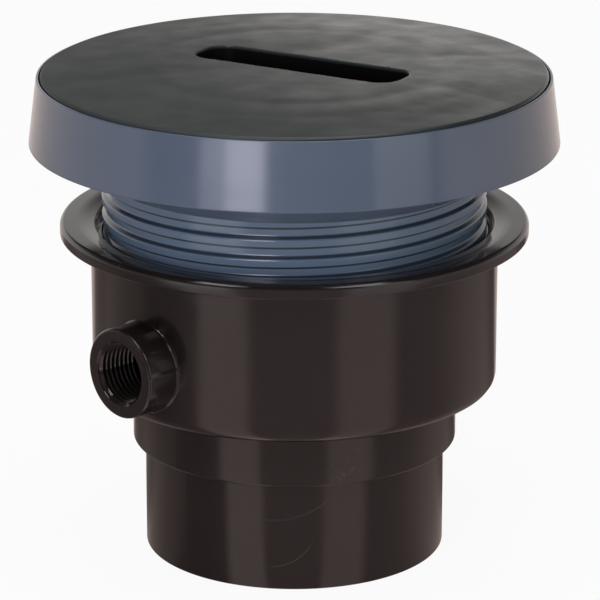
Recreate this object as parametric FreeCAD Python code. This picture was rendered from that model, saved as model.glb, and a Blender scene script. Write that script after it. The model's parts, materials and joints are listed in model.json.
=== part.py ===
"""Adjustable floor drain: a moulded body, a head that screws into it, a cover and its gasket.

Millimetres. The origin is the centre of the outlet's lower end, +Z runs up the drain's axis,
and the side port points along -X. The head stands at the height where it is set when stored.
"""
import FreeCAD
import Part
import math
import os

# Outlet: a spigot that enters a 4 inch pipe, with a socket inside for a 3 inch pipe.
outlet_od = 101.6
socket_bore = 89.2
socket_depth = 37.5
pipe_stop_bore = 77.9
pipe_stop_thickness = 3.0

# Hub: the step that stops the outer pipe, opened out inside towards the chamber.
hub_od = 109.8
hub_height = 19.7
hub_wall = 5.4

# Chamber: the wide cylinder that takes the threaded barrel.
chamber_od = 136.7
chamber_wall = 3.45
chamber_height = 52.4
chamber_floor = 3.6
chamber_floor_fall = 1.2
chamber_corner = 2.8

# Flange: the plate round the mouth, with a bevel along its upper edge.
flange_od = 157.2
flange_thickness = 4.8
flange_bevel_width = 0.9
flange_bevel_height = 1.2

# Mouth: a shallow dish, then a 45 degree lead-in to the thread.
mouth_dish_width = 3.4
mouth_dish_depth = 1.9
mouth_lead = 2.0

# Side port: a round boss with a pipe-threaded bore.
boss_od = 30.1
boss_face_reach = 79.1
boss_floor_margin = 2.0
boss_bevel = 0.8
port_bore = 20.8
port_chamfer = 0.9

# Thread between body and head: single start, right hand, sloped above and almost flat below.
thread_pitch = 6.6
thread_depth = 1.3
thread_crest = 2.3
thread_upper_slope = 1.3
thread_lower_slope = 0.3
thread_clearance = 0.4
thread_datum_drop = 2.4
body_thread_length = 13.2
thread_end_chamfer = 1.4
thread_bite = 0.8

# Head: a threaded barrel, a 45 degree neck and a tapered rim that is hollow below.
head_lift = 26.6
barrel_length = 36.5
barrel_wall = 4.2
neck_step = 0.3
neck_drop = 10.0
neck_wall = 6.6
rim_height = 22.5
rim_top_od = 171.2
rim_flare = 2.9
rim_wall = 2.8
rim_land = 0.8
ledge_depth = 6.5
ledge_width = 9.4
ledge_thickness = 3.6
bowl_wall = 3.6
rim_rib_count = 12
rim_rib_thickness = 2.4
rim_rib_setback = 2.0

# Gasket: a flat ring on the rim's ledge.
gasket_thickness = 1.6
gasket_width = 5.4
gasket_side_gap = 0.8

# Cover: a plate with a flat middle and a low fall to its edge, ribs that centre it, and a pocket for a bar.
cover_side_gap = 0.5
cover_edge_thickness = 5.8
cover_edge_chamfer = 0.7
cover_crown = 2.4
cover_fall_width = 30.0
cover_plate_thickness = 4.2
cover_seat_width = 12.0
cover_rib_count = 8
cover_rib_thickness = 2.4
cover_rib_depth = 8.0
cover_rib_side_gap = 1.0
slot_length = 76.6
slot_width = 19.4
slot_corner_radius = 7.0
slot_depth = 24.0
slot_wall = 2.8
slot_direction = 105.5
slot_offset_x = 2.4
slot_offset_y = -0.8

# Radii that follow from the sizes above.
outlet_r = outlet_od / 2
socket_r = socket_bore / 2
pipe_stop_r = pipe_stop_bore / 2
hub_r = hub_od / 2
hub_bore_r = hub_r - hub_wall
chamber_r = chamber_od / 2
chamber_bore_r = chamber_r - chamber_wall
flange_r = flange_od / 2
mouth_lead_r = chamber_bore_r + mouth_lead
mouth_r = mouth_lead_r + mouth_dish_width
boss_r = boss_od / 2
port_r = port_bore / 2
thread_crest_r = chamber_bore_r - thread_clearance
thread_root_r = thread_crest_r - thread_depth
throat_r = thread_root_r - barrel_wall
neck_r = thread_crest_r + neck_step
rim_top_r = rim_top_od / 2
rim_bottom_r = rim_top_r + rim_flare
rebate_r = rim_top_r - rim_land
ledge_r = rebate_r - ledge_width
bowl_r = ledge_r + bowl_wall
gasket_r = rebate_r - gasket_side_gap
cover_r = rebate_r - cover_side_gap
cover_rib_r = ledge_r - cover_rib_side_gap

# Heights that follow from the sizes above.
hub_base_z = socket_depth
chamber_base_z = hub_base_z + hub_height
floor_z = chamber_base_z + chamber_floor
flange_base_z = chamber_base_z + chamber_height
flange_top_z = flange_base_z + flange_thickness
mouth_lead_z = flange_top_z - mouth_dish_depth
thread_top_z = mouth_lead_z - mouth_lead
boss_z = chamber_base_z + chamber_corner + boss_floor_margin + boss_r
thread_datum_z = flange_top_z - thread_datum_drop
rim_base_z = flange_top_z + head_lift
rim_top_z = rim_base_z + rim_height
neck_z = rim_base_z - neck_drop
barrel_foot_z = neck_z - barrel_length
ledge_z = rim_top_z - ledge_depth
rim_ceiling_z = ledge_z - ledge_thickness
gasket_top_z = ledge_z + gasket_thickness
cover_edge_z = gasket_top_z + cover_edge_thickness
cover_crown_z = cover_edge_z + cover_crown
cover_rib_foot_z = gasket_top_z - cover_rib_depth
cover_plate_z = cover_crown_z - cover_plate_thickness
pocket_floor_z = cover_edge_z - slot_depth

# Axial run of the thread's flanks for each millimetre of depth.
upper_ratio = thread_upper_slope / thread_depth
lower_ratio = thread_lower_slope / thread_depth

AXIS = FreeCAD.Vector(0, 0, 1)
CENTRE = FreeCAD.Vector(0, 0, 0)
FULL_TURN = 360.0


def spin(profile):
    """Turn a closed outline of (radius, height) points about the drain's axis."""
    points = [FreeCAD.Vector(radius, 0, height) for radius, height in profile]
    outline = Part.makePolygon(points + points[:1])
    return Part.Face(outline).revolve(CENTRE, AXIS, FULL_TURN)


def tube(outer_radius, inner_radius, low, high):
    """A plain ring between two heights."""
    return spin([(inner_radius, low), (outer_radius, low), (outer_radius, high), (inner_radius, high)])


def helical_ridge(section, low, high):
    """Sweep a (radius, height) section along the thread's helix, from below low to above high."""
    turns_below = math.ceil((thread_datum_z - low) / thread_pitch) + 1
    start_z = thread_datum_z - turns_below * thread_pitch
    turns = math.ceil((high - start_z) / thread_pitch) + 1
    points = [FreeCAD.Vector(radius, 0, start_z + height) for radius, height in section]
    outline = Part.makePolygon(points + points[:1])
    helix = Part.makeHelix(thread_pitch, turns * thread_pitch, thread_crest_r)
    helix.translate(FreeCAD.Vector(0, 0, start_z))
    return Part.Wire(helix.Edges).makePipeShell([outline], True, True)


def outer_thread():
    """The ridge on the barrel, from the foot to the neck, bevelled where it runs out at the foot."""
    bite_r = thread_root_r - thread_bite
    reach = thread_depth + thread_bite
    ridge = helical_ridge([
        (bite_r, -reach * lower_ratio),
        (thread_crest_r, 0),
        (thread_crest_r, thread_crest),
        (bite_r, thread_crest + reach * upper_ratio),
    ], barrel_foot_z, neck_z)
    inside_r = bite_r - thread_bite
    bevel_r = thread_crest_r - thread_end_chamfer
    envelope = spin([
        (inside_r, barrel_foot_z),
        (bevel_r, barrel_foot_z),
        (neck_r, barrel_foot_z + neck_r - bevel_r),
        (neck_r, neck_z),
        (inside_r, neck_z),
    ])
    return ridge.common(envelope)


def inner_thread():
    """The ridge in the body's mouth. It lies in the middle of the barrel's groove."""
    groove_low = thread_crest + thread_upper_slope + thread_clearance * math.hypot(1, upper_ratio)
    groove_high = thread_pitch - thread_lower_slope - thread_clearance * math.hypot(1, lower_ratio)
    crest_r = thread_root_r + thread_clearance
    bite_r = chamber_bore_r + thread_bite
    reach = bite_r - thread_root_r
    foot_z = thread_top_z - body_thread_length
    ridge = helical_ridge([
        (crest_r, groove_low - thread_clearance * upper_ratio),
        (bite_r, groove_low - reach * upper_ratio),
        (bite_r, groove_high + reach * lower_ratio),
        (crest_r, groove_high + thread_clearance * lower_ratio),
    ], foot_z, mouth_lead_z)
    inside_r = crest_r - thread_bite
    envelope = spin([
        (inside_r, foot_z + chamber_bore_r - inside_r),
        (chamber_bore_r, foot_z),
        (bite_r + thread_bite, foot_z),
        (bite_r + thread_bite, mouth_lead_z),
        (inside_r, mouth_lead_z),
    ])
    return ridge.common(envelope)


def mouth_hollow():
    """What the dish and the lead-in take out of the body and out of the first turn of its thread."""
    return spin([
        (0, thread_top_z - chamber_bore_r),
        (mouth_lead_r, mouth_lead_z),
        (mouth_r, flange_top_z),
        (mouth_r, flange_top_z + flange_thickness),
        (0, flange_top_z + flange_thickness),
    ])


def side_cylinder(radius, near, far):
    """A cylinder along the port's axis, between two distances from the drain's axis."""
    return Part.makeCylinder(radius, far - near, FreeCAD.Vector(-near, 0, boss_z), FreeCAD.Vector(-1, 0, 0))


def drain_body():
    stop_top_z = hub_base_z + pipe_stop_thickness
    floor_edge_z = floor_z + chamber_floor_fall
    bevel_z = flange_top_z - flange_bevel_height
    bevel_r = flange_r - flange_bevel_width
    body = spin([
        (socket_r, 0),
        (outlet_r, 0),
        (outlet_r, hub_base_z),
        (hub_r, hub_base_z),
        (hub_r, chamber_base_z),
        (chamber_r - chamber_corner, chamber_base_z),
        (chamber_r, chamber_base_z + chamber_corner),
        (chamber_r, flange_base_z),
        (flange_r, flange_base_z),
        (flange_r, bevel_z),
        (bevel_r, flange_top_z),
        (chamber_bore_r, flange_top_z),
        (chamber_bore_r, floor_edge_z),
        (hub_bore_r, floor_z),
        (pipe_stop_r, stop_top_z),
        (pipe_stop_r, hub_base_z),
        (socket_r, hub_base_z),
    ])
    chamber_core = Part.makeCylinder(chamber_bore_r, flange_top_z)
    boss = side_cylinder(boss_r, throat_r, boss_face_reach)
    boss_rim = [edge for edge in boss.Edges if math.isclose(edge.BoundBox.XMax, -boss_face_reach, abs_tol=1e-6)]
    boss = boss.makeChamfer(boss_bevel, boss_rim)
    body = body.fuse(boss.cut(chamber_core))
    port_mouth = Part.makeCone(port_r + port_chamfer, port_r, port_chamfer,
                               FreeCAD.Vector(-boss_face_reach, 0, boss_z), FreeCAD.Vector(1, 0, 0))
    body = body.cut(side_cylinder(port_r, 0, boss_face_reach))
    body = body.cut(port_mouth)
    return body.fuse(inner_thread()).cut(mouth_hollow())


def adjustable_head():
    rim_slope = rim_flare / rim_height
    ceiling_r = rim_top_r + (rim_top_z - rim_ceiling_z) * rim_slope - rim_wall
    skirt_inner_r = rim_bottom_r - rim_wall
    bowl_foot_z = neck_z + bowl_r - neck_r
    cone_foot_z = neck_z + throat_r + neck_wall - neck_r
    cone_top_z = cone_foot_z + ledge_r - throat_r
    head = spin([
        (throat_r, barrel_foot_z),
        (thread_root_r, barrel_foot_z),
        (thread_root_r, neck_z),
        (neck_r, neck_z),
        (bowl_r, bowl_foot_z),
        (bowl_r, rim_ceiling_z),
        (ceiling_r, rim_ceiling_z),
        (skirt_inner_r, rim_base_z),
        (rim_bottom_r, rim_base_z),
        (rim_top_r, rim_top_z),
        (rebate_r, rim_top_z),
        (rebate_r, ledge_z),
        (ledge_r, ledge_z),
        (ledge_r, cone_top_z),
        (throat_r, cone_foot_z),
    ])
    rib_foot_z = rim_base_z + rim_rib_setback
    hollow = spin([
        (bowl_r, rim_ceiling_z),
        (ceiling_r, rim_ceiling_z),
        (skirt_inner_r, rim_base_z),
        (neck_r + rim_base_z - neck_z, rim_base_z),
        (bowl_r, bowl_foot_z),
    ])
    for index in range(rim_rib_count):
        rib = Part.makeBox(rim_bottom_r, rim_rib_thickness, rim_ceiling_z - rib_foot_z,
                           FreeCAD.Vector(0, -rim_rib_thickness / 2, rib_foot_z))
        rib.rotate(CENTRE, AXIS, index * FULL_TURN / rim_rib_count)
        head = head.fuse(rib.common(hollow))
    return head.fuse(outer_thread())


def cover_gasket():
    return tube(gasket_r, gasket_r - gasket_width, ledge_z, gasket_top_z)


def slot_block(grow, low, high):
    """An upright block with the slot's rounded outline, grown all round."""
    half_length = slot_length / 2 + grow
    half_width = slot_width / 2 + grow
    block = Part.makeBox(2 * half_length, 2 * half_width, high - low,
                         FreeCAD.Vector(-half_length, -half_width, low))
    upright = [edge for edge in block.Edges if math.isclose(edge.BoundBox.ZLength, high - low, abs_tol=1e-6)]
    block = block.makeFillet(slot_corner_radius + grow, upright)
    block.rotate(CENTRE, AXIS, slot_direction)
    block.translate(FreeCAD.Vector(slot_offset_x, slot_offset_y, 0))
    return block


def construction_cover():
    seat_r = cover_r - cover_seat_width
    cover = spin([
        (0, cover_plate_z),
        (seat_r, cover_plate_z),
        (seat_r, gasket_top_z),
        (cover_r, gasket_top_z),
        (cover_r, cover_edge_z - cover_edge_chamfer),
        (cover_r - cover_edge_chamfer, cover_edge_z),
        (cover_r - cover_edge_chamfer - cover_fall_width, cover_crown_z),
        (0, cover_crown_z),
    ])
    rib_limit = spin([
        (0, cover_rib_foot_z),
        (cover_rib_r, cover_rib_foot_z),
        (cover_rib_r, gasket_top_z),
        (seat_r, gasket_top_z),
        (seat_r, cover_plate_z),
        (0, cover_plate_z),
    ])
    for index in range(cover_rib_count):
        rib = Part.makeBox(cover_r, cover_rib_thickness, cover_plate_z - cover_rib_foot_z,
                           FreeCAD.Vector(0, -cover_rib_thickness / 2, cover_rib_foot_z))
        rib.rotate(CENTRE, AXIS, slot_direction + index * FULL_TURN / cover_rib_count)
        cover = cover.fuse(rib.common(rib_limit))
    cover = cover.fuse(slot_block(slot_wall, pocket_floor_z - slot_wall, cover_plate_z))
    return cover.cut(slot_block(0, pocket_floor_z, cover_crown_z + cover_crown))


os.makedirs("parts", exist_ok=True)
pieces = {
    "drain_body": drain_body(),
    "adjustable_head": adjustable_head(),
    "cover_gasket": cover_gasket(),
    "construction_cover": construction_cover(),
}
for name, piece in pieces.items():
    solid = piece.removeSplitter()
    solid.exportStep("parts/" + name + ".step")
    box = solid.BoundBox
    print(name, len(solid.Solids), solid.isValid(), round(solid.Volume), round(box.ZMin, 2), round(box.ZMax, 2))
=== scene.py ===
# %% [markdown]
# # An adjustable floor drain
# The drain is three plastic mouldings and a rubber ring: a dark brown body, a blue-grey head that screws
# into it, and a black cover that lies in the head's rim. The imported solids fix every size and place. This
# lesson makes a smooth skin for each moulding, gives it a finish, and lights it as a small product in a
# studio.

# %% Load the frame
import json
import math

import bmesh
import bpy
from mathutils import Matrix, Vector, noise


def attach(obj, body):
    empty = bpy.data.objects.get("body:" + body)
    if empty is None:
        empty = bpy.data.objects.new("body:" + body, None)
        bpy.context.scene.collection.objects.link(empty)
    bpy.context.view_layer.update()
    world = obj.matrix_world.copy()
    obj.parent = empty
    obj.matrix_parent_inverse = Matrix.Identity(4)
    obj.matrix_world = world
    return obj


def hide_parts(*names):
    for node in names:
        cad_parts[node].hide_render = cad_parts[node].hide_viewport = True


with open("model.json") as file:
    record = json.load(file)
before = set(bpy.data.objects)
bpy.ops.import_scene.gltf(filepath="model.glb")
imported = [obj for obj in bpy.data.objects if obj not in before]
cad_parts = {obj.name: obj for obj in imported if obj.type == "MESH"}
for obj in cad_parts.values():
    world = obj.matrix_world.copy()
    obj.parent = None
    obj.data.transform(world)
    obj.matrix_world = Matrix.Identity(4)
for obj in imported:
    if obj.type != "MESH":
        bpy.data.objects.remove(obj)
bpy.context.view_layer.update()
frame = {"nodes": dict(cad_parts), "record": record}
MM = 0.001
AXIS = (0, 0, 1)
CENTRE = (0, 0, 0)


# %% [markdown]
# ## Outlines that spin
# Round mouldings are drawn as half a section. A few corners make one flat face, a vertex bevel rounds each
# corner as a mould maker would, and the face is then taken away so that only its edges are left to spin.
# The alternative is to bevel the rings after the spin, but then every ring needs to be found again, and
# their sizes get mixed up.

# %% Outline helpers
AROUND = 240
CORNER_STEPS = 4
WELD = 0.01 * MM
SLIVER = 5 * WELD
PLANE_MATCH = WELD / 100


def outline(points, is_open=False):
    """Edges of a section, from (radius, height, rounding) points in millimetres."""
    bm = bmesh.new()
    corners = [bm.verts.new((radius * MM, 0, height * MM)) for radius, height, rounding in points]
    bm.faces.new(corners)
    for corner, (radius, height, rounding) in zip(corners, points):
        if rounding:
            bmesh.ops.bevel(bm, geom=[corner], offset=rounding * MM, segments=CORNER_STEPS, profile=0.5,
                            affect="VERTICES", material=-1)
    bmesh.ops.delete(bm, geom=bm.faces[:], context="FACES_ONLY")
    if is_open:
        closing = bm.edges.get((corners[-1], corners[0]))
        bmesh.ops.delete(bm, geom=[closing], context="EDGES")
    return bm


def add_rows(bm, longest):
    """Divide the long edges of a section, so that the skin has small faces."""
    for edge in bm.edges[:]:
        cuts = int(edge.calc_length() / (longest * MM))
        if cuts:
            bmesh.ops.subdivide_edges(bm, edges=[edge], cuts=cuts)


def spin(bm, steps=AROUND, rise=0.0):
    """Spin a section round the upright axis. A rise in millimetres for each turn makes it a screw."""
    bmesh.ops.spin(bm, geom=bm.verts[:] + bm.edges[:], cent=CENTRE, axis=AXIS,
                   dvec=(0, 0, rise * MM / steps), angle=math.tau, steps=steps,
                   use_merge=not rise, use_duplicate=False)
    bmesh.ops.remove_doubles(bm, verts=bm.verts[:], dist=WELD)


def trim(bm, low, high):
    """Cut a screw off flat at two heights in millimetres."""
    for height, outward in ((low, -1), (high, 1)):
        bmesh.ops.bisect_plane(bm, geom=bm.verts[:] + bm.edges[:] + bm.faces[:], dist=PLANE_MATCH,
                               plane_co=(0, 0, height * MM), plane_no=(0, 0, outward), clear_outer=True)


def fill_open_ends(bm):
    bmesh.ops.holes_fill(bm, edges=[edge for edge in bm.edges if edge.is_boundary], sides=0)


def absorb(bm, other):
    """Add another bmesh to this one and weld what coincides."""
    carried = bpy.data.meshes.new("carried")
    other.to_mesh(carried)
    other.free()
    bm.from_mesh(carried)
    bpy.data.meshes.remove(carried)
    bmesh.ops.remove_doubles(bm, verts=bm.verts[:], dist=WELD)


def open_edges(bm, height):
    """Edges with one face that lie at a height in millimetres."""
    def is_level(edge):
        return all(abs(corner.co.z - height * MM) < WELD for corner in edge.verts)
    return [edge for edge in bm.edges if edge.is_boundary and is_level(edge)]


def new_piece(name, bm):
    """Turn a bmesh into an object with its faces outwards."""
    bmesh.ops.recalc_face_normals(bm, faces=bm.faces[:])
    mesh = bpy.data.meshes.new(name)
    bm.to_mesh(mesh)
    bm.free()
    piece = bpy.data.objects.new(name, mesh)
    bpy.context.scene.collection.objects.link(piece)
    return piece


def combine(piece, tool, operation):
    """Join a tool to a piece, or cut it out of it, and throw the tool away."""
    step = piece.modifiers.new("combine", "BOOLEAN")
    step.operation = operation
    step.object = tool
    step.solver = "EXACT"
    graph = bpy.context.evaluated_depsgraph_get()
    result = bpy.data.meshes.new_from_object(piece.evaluated_get(graph))
    piece.modifiers.clear()
    piece.data = result
    result.name = piece.name
    bpy.data.objects.remove(tool)


def report(piece):
    """Print whether a piece is closed, and how much plastic it holds."""
    bm = bmesh.new()
    bm.from_mesh(piece.data)
    loose = sum(not edge.is_manifold for edge in bm.edges)
    volume = bm.calc_volume() / MM ** 3
    print(piece.name, "faces:", len(bm.faces), "open edges:", loose, "volume in mm3:", round(volume))
    bm.free()


print("outline helpers ready, steps round the axis:", AROUND)

# %% [markdown]
# ## The body
# The body is one moulding: spigot, hub, chamber and flange on one axis. Its section runs from the top of
# the thread over the flange, down the outside, and up the inside to the foot of the thread. It stays open
# between those two points, because the thread fills that gap. The roundings are what catches the light in
# a glossy part.

# %% Spin the body
bore_r = 64.9
thread_foot_z, thread_top_z = 97.3, 110.5
flange_r, flange_base_z, flange_top_z = 78.6, 109.6, 114.4
flange_chamfer, flange_chamfer_drop = 0.9, 1.2
lead_in = [(66.0, 111.4, 0.3), (67.2, 113.6, 0.3)]
dish_r = 71.8
chamber_r, chamber_base_z = 68.35, 57.2
floor_z, floor_fall = 60.8, 1.2
hub_r, hub_base_z, hub_bore_r = 54.9, 37.5, 49.5
spigot_r = frame["record"]["mounts"][0]["dims"]["r_mm"]
socket_r = frame["record"]["mounts"][1]["dims"]["r_mm"]
stop_r, stop_thickness = 38.95, 3

body_bm = outline([
    (bore_r, thread_top_z, 0),
    *lead_in,
    (dish_r, flange_top_z, 1.5),
    (flange_r - flange_chamfer, flange_top_z, 0.5),
    (flange_r, flange_top_z - flange_chamfer_drop, 0.4),
    (flange_r, flange_base_z, 0.7),
    (chamber_r, flange_base_z, 1.4),
    (chamber_r, chamber_base_z, 4.2),
    (hub_r, chamber_base_z, 0.8),
    (hub_r, hub_base_z, 1.0),
    (spigot_r, hub_base_z, 0.4),
    (spigot_r, 0, 0.5),
    (socket_r, 0, 0.5),
    (socket_r, hub_base_z, 0.4),
    (stop_r, hub_base_z, 0.5),
    (stop_r, hub_base_z + stop_thickness, 0.5),
    (hub_bore_r, floor_z, 0.8),
    (bore_r, floor_z + floor_fall, 1.0),
    (bore_r, thread_foot_z, 0),
], is_open=True)
add_rows(body_bm, longest=4)
spin(body_bm)
print("body skin faces:", len(body_bm.faces))

# %% [markdown]
# ## The coarse thread
# The thread that sets the drain's height is single start, with a slope above each crest and an almost flat
# side below. A spin that rises by one pitch in each turn makes the whole screw from a row of teeth, and
# each tooth ends where the next one starts, so welding closes it. Both mouldings use the same helper: the
# body has the ridge that lies in the middle of the head's groove.

# %% Cut the thread into the body
PITCH = 6.6
BACK_GAP = 5


def screw(tooth, first, count, back_r):
    """Teeth of (radius, height, rounding) points, repeated from a number of pitches, as a screw."""
    points = []
    for index in range(first, first + count):
        points += [(radius, height + index * PITCH, rounding) for radius, height, rounding in tooth]
    low, high = points[0][1], points[-1][1]
    bm = outline([(back_r, low, 0)] + points + [(back_r, high, 0)])
    back = [corner for corner in bm.verts if abs(corner.co.x - back_r * MM) < WELD]
    bmesh.ops.delete(bm, geom=back, context="VERTS")
    spin(bm, rise=PITCH)
    return bm


ridge_r = 63.6
ridge = [(bore_r, 101.27, 0.3), (ridge_r, 102.57, 0.3), (ridge_r, 104.78, 0.25), (bore_r, 105.08, 0)]
ridge_bm = screw(ridge, first=-3, count=6, back_r=bore_r + BACK_GAP)
trim(ridge_bm, thread_foot_z, thread_top_z)
absorb(body_bm, ridge_bm)
fill_open_ends(body_bm)
bmesh.ops.dissolve_degenerate(body_bm, edges=body_bm.edges[:], dist=SLIVER)
body = new_piece("moulded_body", body_bm)
report(body)

# %% [markdown]
# ## The side port
# A round boss for a small pipe stands out of the chamber, with a tapered pipe thread inside. The boss is
# spun as its own solid, with a fillet at its root that is bent to follow the chamber's wall, and it is
# joined to the body with a boolean. A screw-shaped tool then cuts the pipe thread, as a tap does, and a cone
# opens its mouth.

# %% Add the boss
port_z = frame["record"]["mounts"][2]["pos_m"][2] / MM
boss_r, boss_start, boss_reach = 15.05, 65.7, 79.1
boss_root, root_foot_drop, root_corner_drop = 1.0, 0.12, 0.02
PORT_STEPS = 96


def point_out(bm):
    """Turn a bmesh that stands on +Z to point out of the side port."""
    bmesh.ops.rotate(bm, verts=bm.verts[:], cent=CENTRE, matrix=Matrix.Rotation(-math.pi / 2, 3, "Y"))
    bmesh.ops.translate(bm, verts=bm.verts[:], vec=(0, 0, port_z * MM))


boss_bm = outline([
    (0, boss_start, 0),
    (boss_r + boss_root, boss_start, 0),
    (boss_r + boss_root, chamber_r - root_foot_drop, 0),
    (boss_r, chamber_r - root_corner_drop, boss_root),
    (boss_r, boss_reach, 0.9),
    (0, boss_reach, 0),
], is_open=True)
spin(boss_bm, steps=PORT_STEPS)
point_out(boss_bm)
wall_r = chamber_r * MM
for corner in boss_bm.verts:
    if corner.co.x > -(chamber_r + 2 * boss_root) * MM:
        corner.co.x += wall_r - math.sqrt(wall_r ** 2 - corner.co.y ** 2)
combine(body, new_piece("boss", boss_bm), "UNION")
report(body)

# %% Cut the pipe thread
PORT_PITCH = 25.4 / 14
PORT_TAPER = 1 / 32
TAP_TEETH = 14
TAP_TOOTH = ((9.6, 0), (9.6, 0.14), (10.8, 0.85), (10.8, 0.99))
tap_start, tap_end, tap_past_face = 59.0, 63.0, 1
sink_small_r, sink_large_r, sink_depth, sink_inset = 9.0, 12.2, 3.2, 0.3

tap_points = []
for index in range(TAP_TEETH):
    low = tap_start + index * PORT_PITCH
    tap_points += [(radius, low + height) for radius, height in TAP_TOOTH]
tap_bm = bmesh.new()
tap_row = [tap_bm.verts.new((radius * MM, 0, height * MM)) for radius, height in tap_points]
for near_end, far_end in zip(tap_row, tap_row[1:]):
    tap_bm.edges.new((near_end, far_end))
spin(tap_bm, steps=PORT_STEPS, rise=PORT_PITCH)
trim(tap_bm, tap_end, boss_reach + tap_past_face)
for corner in tap_bm.verts:
    around = math.hypot(corner.co.x, corner.co.y)
    taper = 1 + (corner.co.z - boss_reach * MM) * PORT_TAPER / around
    corner.co.x *= taper
    corner.co.y *= taper
fill_open_ends(tap_bm)
point_out(tap_bm)
combine(body, new_piece("tap", tap_bm), "DIFFERENCE")

sink_bm = bmesh.new()
bmesh.ops.create_cone(sink_bm, cap_ends=True, segments=PORT_STEPS, radius1=sink_small_r * MM,
                      radius2=sink_large_r * MM, depth=sink_depth * MM)
bmesh.ops.translate(sink_bm, verts=sink_bm.verts[:], vec=(0, 0, (boss_reach - sink_inset) * MM))
point_out(sink_bm)
combine(body, new_piece("countersink", sink_bm), "DIFFERENCE")
report(body)

# %% [markdown]
# ## The head
# The head has a tapered rim that is hollow below, a neck at 45 degrees and the threaded barrel. Its section
# is left open along the barrel, and the screw closes it. Where the screw meets the neck and the foot, two
# flat rings are filled. Ribs in the hollow rim are plain blocks that are joined to it.

# %% Spin the head
neck_r, neck_z = 64.8, 131.0
throat_r, foot_z = 59.0, 94.5
bowl_r, bowl_foot_z, ceiling_z = 79.0, 131.8, 153.4
rim_base_z, rim_top_z = 141.0, 163.5
rim_bottom_r, rim_top_r = 88.5, 85.6
rim_wall, rim_inside_r = 2.8, 84.1
rebate_r, ledge_r, ledge_z = 84.8, 75.4, 157.0
groove_r, crest_r = 63.2, 64.5

head_bm = outline([
    (neck_r, neck_z, 0),
    (bowl_r, neck_z + bowl_r - neck_r, 1.0),
    (bowl_r, ceiling_z, 0.6),
    (rim_inside_r, ceiling_z, 0.6),
    (rim_bottom_r - rim_wall, rim_base_z, 0.4),
    (rim_bottom_r, rim_base_z, 0.5),
    (rim_top_r, rim_top_z, 0.3),
    (rebate_r, rim_top_z, 0.12),
    (rebate_r, ledge_z, 0.3),
    (ledge_r, ledge_z, 0.5),
    (ledge_r, bowl_foot_z + ledge_r - throat_r, 1.0),
    (throat_r, bowl_foot_z, 1.5),
    (throat_r, foot_z, 0),
], is_open=True)
spin(head_bm)
tooth = [(groove_r, 111.7, 0.1), (crest_r, 112.0, 0.2), (crest_r, 114.3, 0.3), (groove_r, 115.6, 0.3)]
barrel_bm = screw(tooth, first=-4, count=9, back_r=throat_r - BACK_GAP)
trim(barrel_bm, foot_z, neck_z)
absorb(head_bm, barrel_bm)
for height in (foot_z, neck_z):
    bmesh.ops.triangle_fill(head_bm, edges=open_edges(head_bm, height), use_beauty=True)
head = new_piece("screw_head", head_bm)
report(head)

# %% Join the ribs under the rim
RIB_COUNT = 12
rib_thickness = 2.4
rib_inner_r, rib_outer_r = 76.0, 86.2
rib_low, rib_high = 143.0, 154.2


def block(bm, low, high, turn):
    """A box between two corners in millimetres, turned about the axis by degrees."""
    size = [(b - a) * MM for a, b in zip(low, high)]
    middle = [(a + b) / 2 * MM for a, b in zip(low, high)]
    turned = Matrix.Rotation(math.radians(turn), 4, "Z")
    place = turned @ Matrix.Translation(middle) @ Matrix.Diagonal((*size, 1))
    bmesh.ops.create_cube(bm, size=1, matrix=place)


ribs_bm = bmesh.new()
for index in range(RIB_COUNT):
    block(ribs_bm, (rib_inner_r, -rib_thickness / 2, rib_low), (rib_outer_r, rib_thickness / 2, rib_high),
          index * 360 / RIB_COUNT)
combine(head, new_piece("rim_ribs", ribs_bm), "UNION")
report(head)

# %% [markdown]
# ## The cover
# The cover is a loose black plate with a long pocket for a bar. It is spun too, with many rows on top,
# because the real one isn't flat: the plastic has sunk a little over its ribs as it cooled, and that shows
# as soft waves in the reflections. The pocket is cut with a rounded block, its lip is bevelled, and then
# the top sinks by a small noise, by two shallow rings and along the ribs.

# %% Spin and cut the cover
SLOT_TURN = 105.5
SLOT_STEPS = 10
slot_middle = (2.4, -0.8)
slot_half = (38.3, 9.7)
slot_corner = 7.0
pocket_wall, pocket_floor_z, pocket_overlap = 2.8, 140.4, 0.5
plate_z, seat_z, seat_width = 162.6, 158.6, 12
cover_r, cover_edge_z, cover_chamfer = 84.3, 164.4, 0.7
crown_z, crown_inset, crown_round = 166.8, 30.7, 14
COVER_RIB_COUNT = 8
cover_rib_r, cover_rib_low, cover_rib_half = 74.4, 150.6, 1.2
cover_rib_gap, cover_rib_overlap = 0.5, 0.6
slot_clearance = 2


def slot_block(name, grow, low, high):
    """An upright block with the slot's rounded outline, grown all round."""
    half_length, half_width = slot_half[0] + grow, slot_half[1] + grow
    bm = bmesh.new()
    block(bm, (-half_length, -half_width, low), (half_length, half_width, high), 0)
    upright = [edge for edge in bm.edges if abs(edge.verts[0].co.z - edge.verts[1].co.z) > WELD]
    bmesh.ops.bevel(bm, geom=upright, offset=(slot_corner + grow) * MM, segments=SLOT_STEPS, profile=0.5,
                    affect="EDGES", material=-1)
    bmesh.ops.rotate(bm, verts=bm.verts[:], cent=CENTRE,
                     matrix=Matrix.Rotation(math.radians(SLOT_TURN), 3, "Z"))
    bmesh.ops.translate(bm, verts=bm.verts[:], vec=(slot_middle[0] * MM, slot_middle[1] * MM, 0))
    return new_piece(name, bm)


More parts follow.
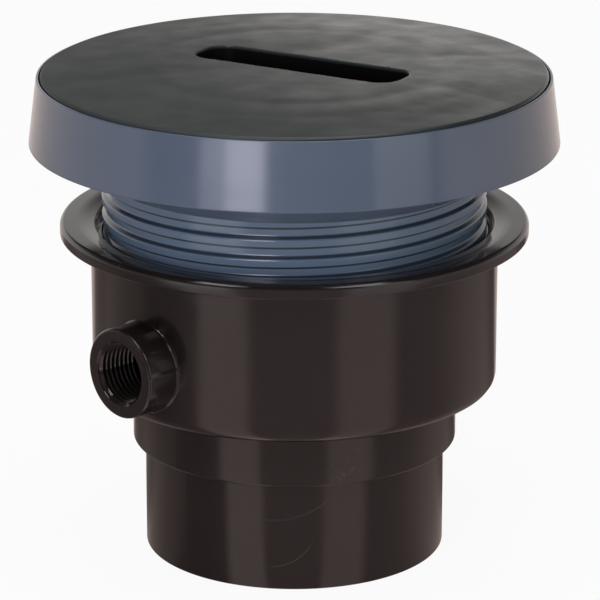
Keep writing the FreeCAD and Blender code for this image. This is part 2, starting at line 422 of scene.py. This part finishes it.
cover_bm = outline([
    (0, plate_z, 0),
    (cover_r - seat_width, plate_z, 0.5),
    (cover_r - seat_width, seat_z, 0.3),
    (cover_r, seat_z, 0.3),
    (cover_r, cover_edge_z - cover_chamfer, 0.2),
    (cover_r - cover_chamfer, cover_edge_z, 0.3),
    (cover_r - crown_inset, crown_z, crown_round),
    (0, crown_z, 0),
], is_open=True)
add_rows(cover_bm, longest=2)
spin(cover_bm)
cover = new_piece("rim_cover", cover_bm)
cover_ribs_bm = bmesh.new()
for index in range(COVER_RIB_COUNT):
    block(cover_ribs_bm, (slot_half[1] + cover_rib_gap, -cover_rib_half, cover_rib_low),
          (cover_rib_r, cover_rib_half, plate_z + cover_rib_overlap),
          SLOT_TURN + index * 360 / COVER_RIB_COUNT)
combine(cover, new_piece("cover_ribs", cover_ribs_bm), "UNION")
pocket = slot_block("pocket", pocket_wall, pocket_floor_z - pocket_wall, plate_z + pocket_overlap)
combine(cover, pocket, "UNION")
combine(cover, slot_block("slot", 0, pocket_floor_z, crown_z + slot_clearance), "DIFFERENCE")
report(cover)

# %% Round the slot's lip and let the top sink
LIP_ROUND, LIP_STEPS = 0.5, 3
LIP_BAND, LIP_ANGLE = 0.1, 1
WAVES = ((0.12, 34), (0.03, 13))
RING_SINKS = ((50, 4.5, 0.17), (64, 4.0, 0.08))
RIB_SINK, RIB_SINK_WIDTH, RIB_SINK_FULL_R = 0.12, 4.5, 40
RIB_STEP = 360 / COVER_RIB_COUNT
FADE_FROM, FADE_OVER = 0.1, 0.6

cover_bm = bmesh.new()
cover_bm.from_mesh(cover.data)


def is_lip(edge):
    """Whether an edge runs round the slot in the top."""
    level = all(abs(corner.co.z - crown_z * MM) < LIP_BAND * MM for corner in edge.verts)
    return level and edge.is_manifold and edge.calc_face_angle() > LIP_ANGLE


def sink(place):
    """How far the top has sunk over the rings and ribs below it, in millimetres."""
    around, turn = math.hypot(place.x, place.y) / MM, math.degrees(math.atan2(place.y, place.x))
    depth = sum(deep * math.exp(-((around - ring) / width) ** 2) for ring, width, deep in RING_SINKS)
    off_rib = (turn - SLOT_TURN + RIB_STEP / 2) % RIB_STEP - RIB_STEP / 2
    beside = around * math.sin(math.radians(off_rib))
    return depth + RIB_SINK * math.exp(-(beside / RIB_SINK_WIDTH) ** 2) * min(around / RIB_SINK_FULL_R, 1)


lip = [edge for edge in cover_bm.edges if is_lip(edge)]
bmesh.ops.bevel(cover_bm, geom=lip, offset=LIP_ROUND * MM, segments=LIP_STEPS, profile=0.5,
                affect="EDGES", material=-1)
for corner in cover_bm.verts:
    share = min(max((corner.co.z / MM - cover_edge_z - FADE_FROM) / FADE_OVER, 0), 1)
    if share:
        for depth, length in WAVES:
            corner.co.z += share * depth * MM * (noise.noise(corner.co / (length * MM)) - 1)
        corner.co.z -= share * sink(corner.co) * MM
cover_bm.to_mesh(cover.data)
cover_bm.free()
print("lip edges:", len(lip))
report(cover)

# %% [markdown]
# ## Smooth shading
# A skin of flat faces would break the reflections. Every face is shaded smooth, edges steeper than a set
# angle stay sharp, and a Weighted Normal modifier lets the large faces decide the normals, so that walls
# stay straight right up to their rounded corners.

# %% Shade the mouldings
SHARP_ANGLE = math.radians(32)


def shade(piece):
    piece.data.shade_smooth()
    piece.data.set_sharp_from_angle(angle=SHARP_ANGLE)
    weighted = piece.modifiers.new("weighted normals", "WEIGHTED_NORMAL")
    weighted.keep_sharp = True


for piece in (body, head, cover):
    shade(piece)
print("shaded:", body.name, head.name, cover.name)

# %% [markdown]
# ## Finishes
# Each finish is one Principled shader with a few textures on Object coordinates, which are metres in the
# drain's own frame. The helpers below keep the node code short: one adds a node and fills its sockets, the
# others are the few sums that the finishes repeat.

# %% Node helpers
def add_node(tree, kind, sockets=None, **settings):
    """Add a node, set its properties, and set or link its sockets by name or number."""
    made = tree.nodes.new(kind)
    for key, value in settings.items():
        setattr(made, key, value)
    for key, value in (sockets or {}).items():
        if isinstance(value, bpy.types.NodeSocket):
            tree.links.new(value, made.inputs[key])
        else:
            made.inputs[key].default_value = value
    return made


def sum_of(tree, operation, first, second=0.0):
    """One sum on one or two values, such as ADD or FRACT."""
    return add_node(tree, "ShaderNodeMath", {0: first, 1: second}, operation=operation).outputs[0]


def product(tree, first, second):
    return sum_of(tree, "MULTIPLY", first, second)


def ramp(tree, value, low, high, start=0.0, end=1.0):
    """Map a value from low..high to start..end, smoothly."""
    sockets = {"Value": value, "From Min": low, "From Max": high, "To Min": start, "To Max": end}
    return add_node(tree, "ShaderNodeMapRange", sockets, interpolation_type="SMOOTHSTEP").outputs[0]


def ramp_mm(tree, length, low, high, start=0.0, end=1.0):
    """The same for a length, between two marks in millimetres."""
    return ramp(tree, length, low * MM, high * MM, start, end)


def window(tree, value, low, high, soft):
    """1 where a value lies between low and high, falling off over a soft edge."""
    rising = ramp(tree, value, low - soft, low + soft)
    falling = ramp(tree, value, high - soft, high + soft, 1.0, 0.0)
    return product(tree, rising, falling)


def window_mm(tree, length, span, soft):
    """The same for a length, over a span in millimetres."""
    return window(tree, length, span[0] * MM, span[1] * MM, soft * MM)


def cloud(tree, place, size, stretch=(1, 1, 1), detail=2.0):
    """Noise with features of a size in millimetres, stretched along the axes."""
    scale = [1 / (size * MM * side) for side in stretch]
    at = add_node(tree, "ShaderNodeMapping", {"Vector": place, "Scale": scale}).outputs[0]
    return add_node(tree, "ShaderNodeTexNoise", {"Vector": at, "Scale": 1.0, "Detail": detail}).outputs[0]


def split(tree, vector):
    """The x, y and z of a vector."""
    return add_node(tree, "ShaderNodeSeparateXYZ", {0: vector}).outputs


def from_axis(tree, x, y):
    """The distance from the drain's axis."""
    flat = add_node(tree, "ShaderNodeCombineXYZ", {0: x, 1: y}).outputs[0]
    return add_node(tree, "ShaderNodeVectorMath", {0: flat}, operation="LENGTH").outputs["Value"]


def reach_along(tree, vector, direction):
    """How far a vector reaches in a direction."""
    sockets = {0: vector, 1: direction}
    return add_node(tree, "ShaderNodeVectorMath", sockets, operation="DOT_PRODUCT").outputs["Value"]


def blend_colour(tree, share, first, second):
    """A mix of two colours, given as numbers or as sockets."""
    mixed = add_node(tree, "ShaderNodeMix", {0: share}, data_type="RGBA")
    for socket, value in ((mixed.inputs[6], first), (mixed.inputs[7], second)):
        if isinstance(value, bpy.types.NodeSocket):
            tree.links.new(value, socket)
        else:
            socket.default_value = (*value, 1)
    return mixed.outputs[2]


def new_finish(name):
    """A material, its nodes, its Principled shader and its Object coordinates."""
    finish = bpy.data.materials.new(name)
    finish.use_nodes = True
    tree = finish.node_tree
    place = add_node(tree, "ShaderNodeTexCoord").outputs["Object"]
    return finish, tree, tree.nodes["Principled BSDF"], place


def set_bump(tree, shader, height, depth):
    """Let a height between 0 and 1 stand out by a depth in millimetres."""
    bump = add_node(tree, "ShaderNodeBump", {"Height": height, "Distance": depth * MM, "Strength": 1.0})
    tree.links.new(bump.outputs[0], shader.inputs["Normal"])


print("node helpers ready")

# %% [markdown]
# ## Brown plastic
# The body is glossy, almost black brown, with the marks of a part that has been handled: two curved
# scratches on the spigot, a pale scuff on the hub, a mould line in line with the side port, and turning
# marks round the mouth. Marks are placed on the unrolled wall, as a distance round the axis from the side
# that the photo shows. The flange's flat top is turned, so it is smoother and reflects a little less.

# %% Make the brown finish
PHOTO_SIDE = math.radians(-134)
PLASTIC_IOR, PLASTIC_SPECULAR = 1.5, 0.5
BROWN, PALE_BROWN = (0.0162, 0.0103, 0.0109), (0.0196, 0.0125, 0.0132)
BROWN_ROUGHNESS = (0.10, 0.15)
MARK_COLOUR, MARK_ROUGHNESS = (0.056, 0.049, 0.047), 0.3
SCRATCH_FADE, HIGH_SCRATCH_SHARE = 2, 0.45
SCUFF_ALONG, SCUFF_HEIGHT, SCUFF_FADE, SCUFF_SHARE = (13, 23), (39, 50), 4, 0.7
RUB_SHARE = 0.10
TURNED_Z, TURNED_ROUGHNESS, TURNED_SPECULAR = (113.6, 114.2), -0.03, 0.38
TURNING_STEP, TURNING_RELIEF = 0.9, 0.15
MOUTH_Z, MOUTH_R = (113.9, 114.3), (76, 71)
MOULD_LINE_WIDTH, MOULD_LINE_RELIEF, MOULD_LINE_X = 0.25, 0.8, (-30, -40)
RIPPLE_RELIEF = 0.2
SKIN_RELIEF = 0.05


def arc_mark(tree, along, z, middle, radius, width, span):
    """A thin arc on the unrolled wall, in millimetres, between two distances along it."""
    du = sum_of(tree, "SUBTRACT", along, middle[0] * MM)
    dz = sum_of(tree, "SUBTRACT", z, middle[1] * MM)
    away = sum_of(tree, "SQRT", sum_of(tree, "ADD", product(tree, du, du), product(tree, dz, dz)))
    off = sum_of(tree, "ABSOLUTE", sum_of(tree, "SUBTRACT", away, radius * MM))
    line = ramp_mm(tree, off, 0.0, width, 1.0, 0.0)
    below = ramp_mm(tree, dz, -SCRATCH_FADE, SCRATCH_FADE, 1.0, 0.0)
    inside = window_mm(tree, along, span, SCRATCH_FADE)
    return product(tree, product(tree, line, inside), below)


def make_brown():
    finish, tree, shader, place = new_finish("brown_moulding")
    shader.inputs["IOR"].default_value = PLASTIC_IOR
    x, y, z = split(tree, place)
    around = from_axis(tree, x, y)
    along = product(tree, sum_of(tree, "SUBTRACT", sum_of(tree, "ARCTAN2", y, x), PHOTO_SIDE), around)

    long_scratch = arc_mark(tree, along, z, middle=(-8.3, 24), radius=16, width=0.35, span=(-8, 5))
    high_scratch = arc_mark(tree, along, z, middle=(-8, 55), radius=30.6, width=0.5, span=(-9, 11))
    scratches = sum_of(tree, "ADD", long_scratch, product(tree, high_scratch, HIGH_SCRATCH_SHARE))
    scuff_noise = ramp(tree, cloud(tree, place, 3.0, detail=6.0), 0.52, 0.72)
    scuff_place = product(tree, window_mm(tree, along, SCUFF_ALONG, SCUFF_FADE),
                          window_mm(tree, z, SCUFF_HEIGHT, SCUFF_FADE))
    scuff = product(tree, product(tree, scuff_noise, scuff_place), SCUFF_SHARE)
    rub = product(tree, ramp(tree, cloud(tree, place, 1.1, detail=5.0), 0.70, 0.80), RUB_SHARE)
    marks = sum_of(tree, "MAXIMUM", scratches, sum_of(tree, "MAXIMUM", scuff, rub))
    tone = blend_colour(tree, cloud(tree, place, 30, detail=3.0), BROWN, PALE_BROWN)
    tree.links.new(blend_colour(tree, marks, tone, MARK_COLOUR), shader.inputs["Base Color"])

    turned = ramp_mm(tree, z, *TURNED_Z)
    gloss = ramp(tree, cloud(tree, place, 12, detail=5.0), 0.3, 0.7, *BROWN_ROUGHNESS)
    worn = sum_of(tree, "ADD", product(tree, turned, TURNED_ROUGHNESS), product(tree, marks, MARK_ROUGHNESS))
    tree.links.new(sum_of(tree, "ADD", gloss, worn), shader.inputs["Roughness"])
    specular = ramp(tree, turned, 0.0, 1.0, PLASTIC_SPECULAR, TURNED_SPECULAR)
    tree.links.new(specular, shader.inputs["Specular IOR Level"])

    middle_line = ramp_mm(tree, sum_of(tree, "ABSOLUTE", y), 0.0, MOULD_LINE_WIDTH, 1.0, 0.0)
    mould_line = product(tree, middle_line, ramp_mm(tree, x, *MOULD_LINE_X))
    turning = sum_of(tree, "SINE", product(tree, around, math.tau / (TURNING_STEP * MM)))
    mouth = product(tree, ramp_mm(tree, z, *MOUTH_Z), ramp_mm(tree, around, *MOUTH_R))
    rings = product(tree, turning, product(tree, mouth, TURNING_RELIEF))
    ripple = product(tree, cloud(tree, place, 14, detail=1.0), RIPPLE_RELIEF)
    lines = sum_of(tree, "ADD", product(tree, mould_line, MOULD_LINE_RELIEF), rings)
    set_bump(tree, shader, sum_of(tree, "ADD", lines, ripple), SKIN_RELIEF)
    return finish


brown = make_brown()
print("finish:", brown.name, "nodes:", len(brown.node_tree.nodes))

# %% [markdown]
# ## Blue-grey plastic
# The head is the same kind of plastic in a slate blue. Fine lines run round it and pull the highlights into
# a satin. A mould line crosses the thread. The barrel below the neck is painted a lighter blue, as painted
# light, and the thread's grooves are painted darker, as painted shade. The shader finds the grooves by
# unwinding the screw: it takes the share of a turn from the height in pitches, and what is left repeats at
# each tooth.

# %% Make the blue-grey finish
BLUE_GREY, PALE_BLUE_GREY = (0.063, 0.081, 0.113), (0.074, 0.094, 0.130)
# Painted light: the barrel is painted a lighter blue than the rim of the same moulding.
BARREL_PAINTED_LIGHT, BARREL_FADE = (0.086, 0.121, 0.168), 0.5
SPECK, SPECK_SHARE = (0.20, 0.22, 0.26), 0.25
# Painted shade for the slopes and undersides in the thread's grooves.
GROOVE_PAINTED_SHADE, GROOVE_SHADE_SHARE = (0.006, 0.008, 0.012), 0.8
SLOPE_FOOT = 114.3
SLOPE_GROOVE, FLANK_GROOVE = (0.04, 0.18, 0.03), (0.51, 0.66, 0.02)
SATIN_ROUGHNESS, SATIN_RELIEF = (0.13, 0.19), 0.03
THREAD_LINE, THREAD_LINE_HALF, THREAD_LINE_FADE = math.radians(-103), 0.006, 1


def make_blue_grey():
    finish, tree, shader, place = new_finish("blue_grey_moulding")
    shader.inputs["IOR"].default_value = PLASTIC_IOR
    x, y, z = split(tree, place)
    turn = sum_of(tree, "ARCTAN2", y, x)
    lines = cloud(tree, place, 1.0, stretch=(60, 60, 0.5), detail=3.0)
    tone = blend_colour(tree, cloud(tree, place, 18, detail=3.0), BLUE_GREY, PALE_BLUE_GREY)
    specks = ramp(tree, cloud(tree, place, 0.9, detail=4.0), 0.73, 0.82)
    tone = blend_colour(tree, product(tree, specks, SPECK_SHARE), tone, SPECK)
    # Below the neck the base colour is painted lighter, as painted light.
    barrel = ramp_mm(tree, z, neck_z, neck_z - BARREL_FADE)
    tone = blend_colour(tree, barrel, tone, BARREL_PAINTED_LIGHT)

    # Painted shade: a darker colour is mixed in on the groove slopes and under each crest, where shade
    # falls.
    climb = sum_of(tree, "DIVIDE", turn, math.tau)
    pitches = sum_of(tree, "DIVIDE", sum_of(tree, "SUBTRACT", z, SLOPE_FOOT * MM), PITCH * MM)
    phase = sum_of(tree, "FRACT", sum_of(tree, "SUBTRACT", pitches, climb))
    grooves = sum_of(tree, "MAXIMUM", window(tree, phase, *SLOPE_GROOVE), window(tree, phase, *FLANK_GROOVE))
    painted_groove_shade = product(tree, grooves, product(tree, barrel, GROOVE_SHADE_SHARE))
    tree.links.new(blend_colour(tree, painted_groove_shade, tone, GROOVE_PAINTED_SHADE), shader.inputs["Base Color"])
    tree.links.new(ramp(tree, lines, 0.25, 0.75, *SATIN_ROUGHNESS), shader.inputs["Roughness"])

    beside = sum_of(tree, "ABSOLUTE", sum_of(tree, "SUBTRACT", turn, THREAD_LINE))
    parting = ramp(tree, beside, 0.0, THREAD_LINE_HALF, 1.0, 0.0)
    low = ramp_mm(tree, z, neck_z + THREAD_LINE_FADE, neck_z)
    height = sum_of(tree, "ADD", product(tree, lines, SATIN_RELIEF), product(tree, parting, low))
    set_bump(tree, shader, height, SKIN_RELIEF)
    return finish


blue_grey = make_blue_grey()
print("finish:", blue_grey.name, "nodes:", len(blue_grey.node_tree.nodes))

# %% [markdown]
# ## Black plastic and rubber
# The cover is dull black with cloudy flow marks and a few pits, and it is rubbed smoother on one side. Most
# of its grey is the wall behind it in a glancing reflection, so its roughness matters more than its colour.
# The pocket is painted near black and less shiny, as painted shade, because hardly any light comes back
# out of it. The gasket is plain rubber.

# %% Make the black finishes
BLACK, PALE_BLACK = (0.0100, 0.0138, 0.0137), (0.0175, 0.0240, 0.0236)
FLOW_SIZE, FLOW_RELIEF = 34, 0.7
SMEAR_SIZE, SMEAR_RELIEF = 12, 0.3
PIT_DARKNESS, PIT_RELIEF = 0.6, 0.06
COVER_RELIEF = 0.8
# Painted shade for the inside of the pocket: near black, and less shiny.
POCKET_PAINTED_SHADE, POCKET_SPECULAR = (0.003, 0.003, 0.003), 0.1
POCKET_Z, POCKET_R = (166.2, 165.2), (50, 46)
RUBBED_TURN = PHOTO_SIDE + 1.8
RUBBED_SIDE = (math.cos(RUBBED_TURN), math.sin(RUBBED_TURN), 0)
RUBBED_SPAN, RUBBED_ROUGHNESS, DULL_EXTRA = (-70, 50), (0.25, 0.33), 0.28
RUBBER, PALE_RUBBER = (0.010, 0.010, 0.010), (0.020, 0.020, 0.020)
RUBBER_ROUGHNESS, RUBBER_RELIEF = (0.65, 0.8), 0.03


def make_black():
    finish, tree, shader, place = new_finish("black_moulding")
    shader.inputs["IOR"].default_value = PLASTIC_IOR
    x, y, z = split(tree, place)
    flow = cloud(tree, place, FLOW_SIZE, detail=1.0)
    smear = cloud(tree, place, SMEAR_SIZE, detail=1.5)
    pits = ramp(tree, cloud(tree, place, 1.3, detail=3.0), 0.70, 0.78)
    tone = blend_colour(tree, flow, BLACK, PALE_BLACK)
    below = ramp_mm(tree, z, *POCKET_Z)
    in_pocket = product(tree, below, ramp_mm(tree, from_axis(tree, x, y), *POCKET_R))
    # The pocket gets painted shade; the pits get a darker tone of their own.
    pocket_shade_and_pits = sum_of(tree, "MAXIMUM", in_pocket, product(tree, pits, PIT_DARKNESS))
    tree.links.new(blend_colour(tree, pocket_shade_and_pits, tone, POCKET_PAINTED_SHADE), shader.inputs["Base Color"])
    specular = ramp(tree, in_pocket, 0.0, 1.0, PLASTIC_SPECULAR, POCKET_SPECULAR)
    tree.links.new(specular, shader.inputs["Specular IOR Level"])

    dull = ramp_mm(tree, reach_along(tree, place, RUBBED_SIDE), *RUBBED_SPAN, DULL_EXTRA, 0.0)
    rubbed = ramp(tree, smear, 0.25, 0.75, *RUBBED_ROUGHNESS)
    tree.links.new(sum_of(tree, "ADD", rubbed, dull), shader.inputs["Roughness"])
    waves = sum_of(tree, "ADD", product(tree, flow, FLOW_RELIEF), product(tree, smear, SMEAR_RELIEF))
    set_bump(tree, shader, sum_of(tree, "SUBTRACT", waves, product(tree, pits, PIT_RELIEF)), COVER_RELIEF)
    return finish


def make_rubber():
    finish, tree, shader, place = new_finish("gasket_rubber")
    shader.inputs["IOR"].default_value = PLASTIC_IOR
    grain = cloud(tree, place, 0.6, detail=3.0)
    tree.links.new(blend_colour(tree, grain, RUBBER, PALE_RUBBER), shader.inputs["Base Color"])
    tree.links.new(ramp(tree, grain, 0.3, 0.7, *RUBBER_ROUGHNESS), shader.inputs["Roughness"])
    set_bump(tree, shader, grain, RUBBER_RELIEF)
    return finish


black = make_black()
rubber = make_rubber()
print("finishes:", black.name, rubber.name)

# %% [markdown]
# ## Put the pieces on their bodies
# Each skin stands for the solid of the same moulding and moves with that solid's body. The gasket's own
# solid is right as it is, so it only gets its finish.

# %% Attach the pieces
for piece, body_name, node, slot, finish in (
    (body, "body", "drain_body", "brown_plastic", brown),
    (head, "head", "adjustable_head", "blue_grey_plastic", blue_grey),
    (cover, "head", "construction_cover", "black_plastic", black),
):
    piece.data.materials.clear()
    piece.data.materials.append(finish)
    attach(piece, body_name)
    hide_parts(node)
gasket = frame["nodes"]["cover_gasket"]
gasket.material_slots[0].material = rubber

# %% [markdown]
# ## The floor
# The part stands on pale paper that runs out of sight. For camera and reflection rays a glow of strength 1
# is mixed into the paper, so that it looks nearly white without any more light on the part. The share of
# plain paper that is left keeps the shadow.

# %% Lay the floor
FLOOR_HALF = 6.0
FLOOR_GLOW = 0.93
PAPER, GREYER_PAPER = (0.8, 0.8, 0.8), (0.792, 0.792, 0.792)


def lay_floor(half):
    bm = bmesh.new()
    bmesh.ops.create_grid(bm, x_segments=1, y_segments=1, size=half)
    floor = new_piece("floor", bm)
    finish, tree, shader, place = new_finish("floor_paper")
    shader.inputs["Roughness"].default_value = 0.7
    shader.inputs["Specular IOR Level"].default_value = 0.1
    grain = cloud(tree, place, 40, detail=2.0)
    tree.links.new(blend_colour(tree, grain, PAPER, GREYER_PAPER), shader.inputs["Base Color"])
    rays = add_node(tree, "ShaderNodeLightPath").outputs
    seen = sum_of(tree, "MAXIMUM", rays["Is Camera Ray"], rays["Is Glossy Ray"])
    glow = add_node(tree, "ShaderNodeEmission", {"Color": (1, 1, 1, 1), "Strength": 1.0}).outputs[0]
    shares = {0: product(tree, seen, FLOOR_GLOW), 1: shader.outputs[0], 2: glow}
    mixed = add_node(tree, "ShaderNodeMixShader", shares)
    tree.links.new(mixed.outputs[0], tree.nodes["Material Output"].inputs["Surface"])
    floor.data.materials.append(finish)
    return floor


floor = lay_floor(FLOOR_HALF)
print("floor half width in m:", FLOOR_HALF)

# %% [markdown]
# ## Cards for the reflections
# Seen from a little above, a glossy upright wall reflects the floor in front of it. Three ring-shaped cards
# lie there for the reflections alone, the near one for the body, the middle one for the thread and the far
# one for the rim. Their pale sectors are the soft strips that run down those walls. The sectors are drawn
# about a point a little in front of the axis, because that is where the reflected rays seem to come from.

# %% Lay the cards
FOCUS = 31 * MM
CARD_STEPS = 96
CARD_HEIGHT = 0.05 * MM
WARM, SOFT_WARM, COOL = (1.0, 0.80, 0.74), (1.0, 0.85, 0.76), (0.95, 0.96, 1.0)
NEAR_SHADES = (
    (-180, 0.9), (-150, 0.6), (-145, 0.20), (-132, 0.19), (-122, 0.34), (-110, 0.33), (-95, 0.32),
    (-86, 0.20), (-70, 0.22), (-57, 0.30), (-51, 1.06), (-28, 1.06), (-22.5, 0.45), (20.5, 0.45),
    (27, 0.93), (52.5, 0.93), (60.5, 0.38), (85, 0.38), (97, 0.46), (108, 0.48), (128, 0.34),
    (137, 0.17), (142, 0.12), (146, 0.11), (151, 0.6), (180, 0.9))
MIDDLE_SHADES = (
    (-180, 1.1), (-150, 0.8), (-135, 0.35), (-110, 0.30), (-68, 0.35), (-60, 1.7), (-34, 1.7), (-27, 0.40),
    (22, 0.40), (29, 1.1), (60, 1.1), (68, 0.55), (120, 0.45), (135, 0.35), (150, 0.8), (180, 1.1))
FAR_SHADES = (
    (-180, 1.0), (-110, 0.85), (-68, 0.75), (-62, 0.10), (62, 0.15), (67, 0.9), (130, 0.95), (180, 1.0))


def lay_card(name, near, far, tint, shades):
    """A ring with (degrees from the photo's side, brightness) shades."""
    bm = bmesh.new()
    ends = [bm.verts.new((radius, 0, CARD_HEIGHT)) for radius in (near, far)]
    bm.edges.new(ends)
    spin(bm, steps=CARD_STEPS)
    card = new_piece(name, bm)
    finish, tree, shader, place = new_finish(name + "_paper")
    tree.nodes.remove(shader)
    turning = {"Vector": place, "Rotation": (0, 0, -PHOTO_SIDE), "Location": (-FOCUS, 0, 0)}
    turned = add_node(tree, "ShaderNodeMapping", turning).outputs[0]
    x, y, z = split(tree, turned)
    share = sum_of(tree, "ADD", sum_of(tree, "DIVIDE", sum_of(tree, "ARCTAN2", y, x), math.tau), 0.5)
    scale = add_node(tree, "ShaderNodeValToRGB", {0: share})
    stops = scale.color_ramp.elements
    while len(stops) < len(shades):
        stops.new(1.0)
    for stop, (angle, level) in zip(stops, shades):
        stop.position = (angle + 180) / 360
        stop.color = [level * part for part in tint] + [1]
    glow = add_node(tree, "ShaderNodeEmission", {"Color": scale.outputs[0], "Strength": 1.0}).outputs[0]
    tree.links.new(glow, tree.nodes["Material Output"].inputs["Surface"])
    card.data.materials.append(finish)
    card.visible_camera = False
    card.visible_diffuse = False
    card.visible_shadow = False
    print(name, "from", near, "to", far, "m, shades:", len(shades))


lay_card("near_card", near=0.0506, far=0.42, tint=WARM, shades=NEAR_SHADES)
lay_card("middle_card", near=0.42, far=0.60, tint=COOL, shades=MIDDLE_SHADES)
lay_card("far_card", near=0.60, far=5.9, tint=SOFT_WARM, shades=FAR_SHADES)

# %% [markdown]
# ## Softboxes
# A tall softbox on the left draws the bright strip down the rim, and weaker ones fill from the right, the
# front and above. The left and front ones are linked to the head, its cover and gasket, and the floor,
# because on the dark body they would only draw a second set of strips. Two high ones are linked to the
# body, for the thin bright lines along its rounded edges.

# %% Hang the softboxes
VIOLET = (0.98, 0.96, 1.10)
upper = bpy.data.collections.new("head_and_floor")
for piece in (head, cover, gasket, floor):
    upper.objects.link(piece)
lower = bpy.data.collections.new("body_alone")
lower.objects.link(body)


def hang_softbox(name, turn, distance, height, size, radiance,
                 look_at=None, colour=(1, 1, 1), receivers=None):
    """An area light at degrees from the photo's side, that looks level or at a height on the axis."""
    lamp = bpy.data.lights.new(name, "AREA")
    lamp.shape = "RECTANGLE"
    lamp.size, lamp.size_y = size
    lamp.energy = radiance * math.pi * size[0] * size[1]
    lamp.color = colour
    holder = bpy.data.objects.new(name, lamp)
    bpy.context.scene.collection.objects.link(holder)
    angle = PHOTO_SIDE + math.radians(turn)
    holder.location = (distance * math.cos(angle), distance * math.sin(angle), height)
    look = holder.location - Vector((0, 0, height if look_at is None else look_at))
    holder.rotation_euler = look.to_track_quat("Z", "Y").to_euler()
    holder.visible_camera = False
    holder.light_linking.receiver_collection = receivers
    print(name, "radiance:", radiance, "watts:", round(lamp.energy, 1))
    return holder


hang_softbox("left_softbox", turn=-20, distance=1.3, height=0.66, size=(0.37, 1.2), radiance=6.4,
             colour=VIOLET, receivers=upper)
hang_softbox("left_edge_softbox", turn=-33.5, distance=1.3, height=0.66, size=(0.24, 1.2), radiance=2.8,
             colour=VIOLET, receivers=upper)
hang_softbox("right_softbox", turn=45, distance=1.3, height=0.66, size=(0.57, 1.2), radiance=1.05)
hang_softbox("top_softbox", turn=0, distance=0.01, height=1.6, size=(1.4, 1.4), radiance=2.6, look_at=0.1)
front_softbox = hang_softbox("front_softbox", turn=2, distance=1.7, height=0.35, size=(0.9, 0.5),
                             radiance=4.0, look_at=0.12, receivers=upper)
front_softbox.visible_glossy = False
hang_softbox("high_right_softbox", turn=36, distance=1.1, height=1.15, size=(0.6, 0.45), radiance=3.8,
             look_at=0.1, receivers=lower)
hang_softbox("high_left_softbox", turn=-43, distance=1.1, height=1.15, size=(0.5, 0.45), radiance=3.8,
             look_at=0.1, receivers=lower)

# %% [markdown]
# ## The wall behind
# Flat tops reflect what stands behind the part. The world takes the place of a wall there: it is bright low
# down on the far side, a little brighter on the left than on the right, and dim elsewhere.

# %% Paint the world
WALL_TINT = (1.0, 0.965, 0.93)
WALL_RISE, WALL_BRIGHT, WALL_DIM = (0.22, 0.45), 0.90, 0.12
WALL_SIDE, WALL_LEFT, WALL_RIGHT = 0.15, 1.12, 0.92
WALL_TURN, WALL_FRONT, WALL_BEHIND = 0.6, 0.3, 1.0
right_side = (-math.sin(PHOTO_SIDE), math.cos(PHOTO_SIDE), 0)
far_side = (-math.cos(PHOTO_SIDE), -math.sin(PHOTO_SIDE), 0)

world = bpy.data.worlds.new("studio")
world.use_nodes = True
tree = world.node_tree
towards = add_node(tree, "ShaderNodeTexCoord").outputs["Generated"]
low_wall = ramp(tree, split(tree, towards)[2], *WALL_RISE, WALL_BRIGHT, WALL_DIM)
sideways = ramp(tree, reach_along(tree, towards, right_side), -WALL_SIDE, WALL_SIDE, WALL_LEFT, WALL_RIGHT)
behind = ramp(tree, reach_along(tree, towards, far_side), 0.0, WALL_TURN, WALL_FRONT, WALL_BEHIND)
level = product(tree, product(tree, low_wall, sideways), behind)
shine = add_node(tree, "ShaderNodeVectorMath", {0: WALL_TINT, "Scale": level}, operation="SCALE").outputs[0]
tree.links.new(shine, tree.nodes["Background"].inputs["Color"])
bpy.context.scene.world = world
bpy.context.scene.view_settings.view_transform = "Standard"
print("world nodes:", len(tree.nodes))

# %% [markdown]
# ## The camera
# The camera was fitted to the ellipses of the photo: a long lens, a little over a metre away, almost
# eighteen degrees above the horizon. The drain's axis stands slightly left of the middle, which is a small
# lens shift.

# %% Set the camera
PHOTO_WIDTH = 600
focal_px = 3672.0
axis_px = 294.44
camera_distance = 1.241
camera_rise = math.radians(17.79)
aim = Vector((0, 0, 84.65 * MM))

lens = bpy.data.cameras.new("photo_camera")
lens.sensor_width = 36.0
lens.lens = focal_px * lens.sensor_width / PHOTO_WIDTH
lens.shift_x = (PHOTO_WIDTH / 2 - axis_px) / PHOTO_WIDTH
camera = bpy.data.objects.new("photo_camera", lens)
bpy.context.scene.collection.objects.link(camera)
back = Vector((math.cos(PHOTO_SIDE) * math.cos(camera_rise), math.sin(PHOTO_SIDE) * math.cos(camera_rise),
               math.sin(camera_rise)))
camera.location = aim + back * camera_distance
camera.rotation_euler = back.to_track_quat("Z", "Y").to_euler()
bpy.context.scene.camera = camera
print("lens in mm:", round(lens.lens, 1), "camera at:", [round(x, 3) for x in camera.location])
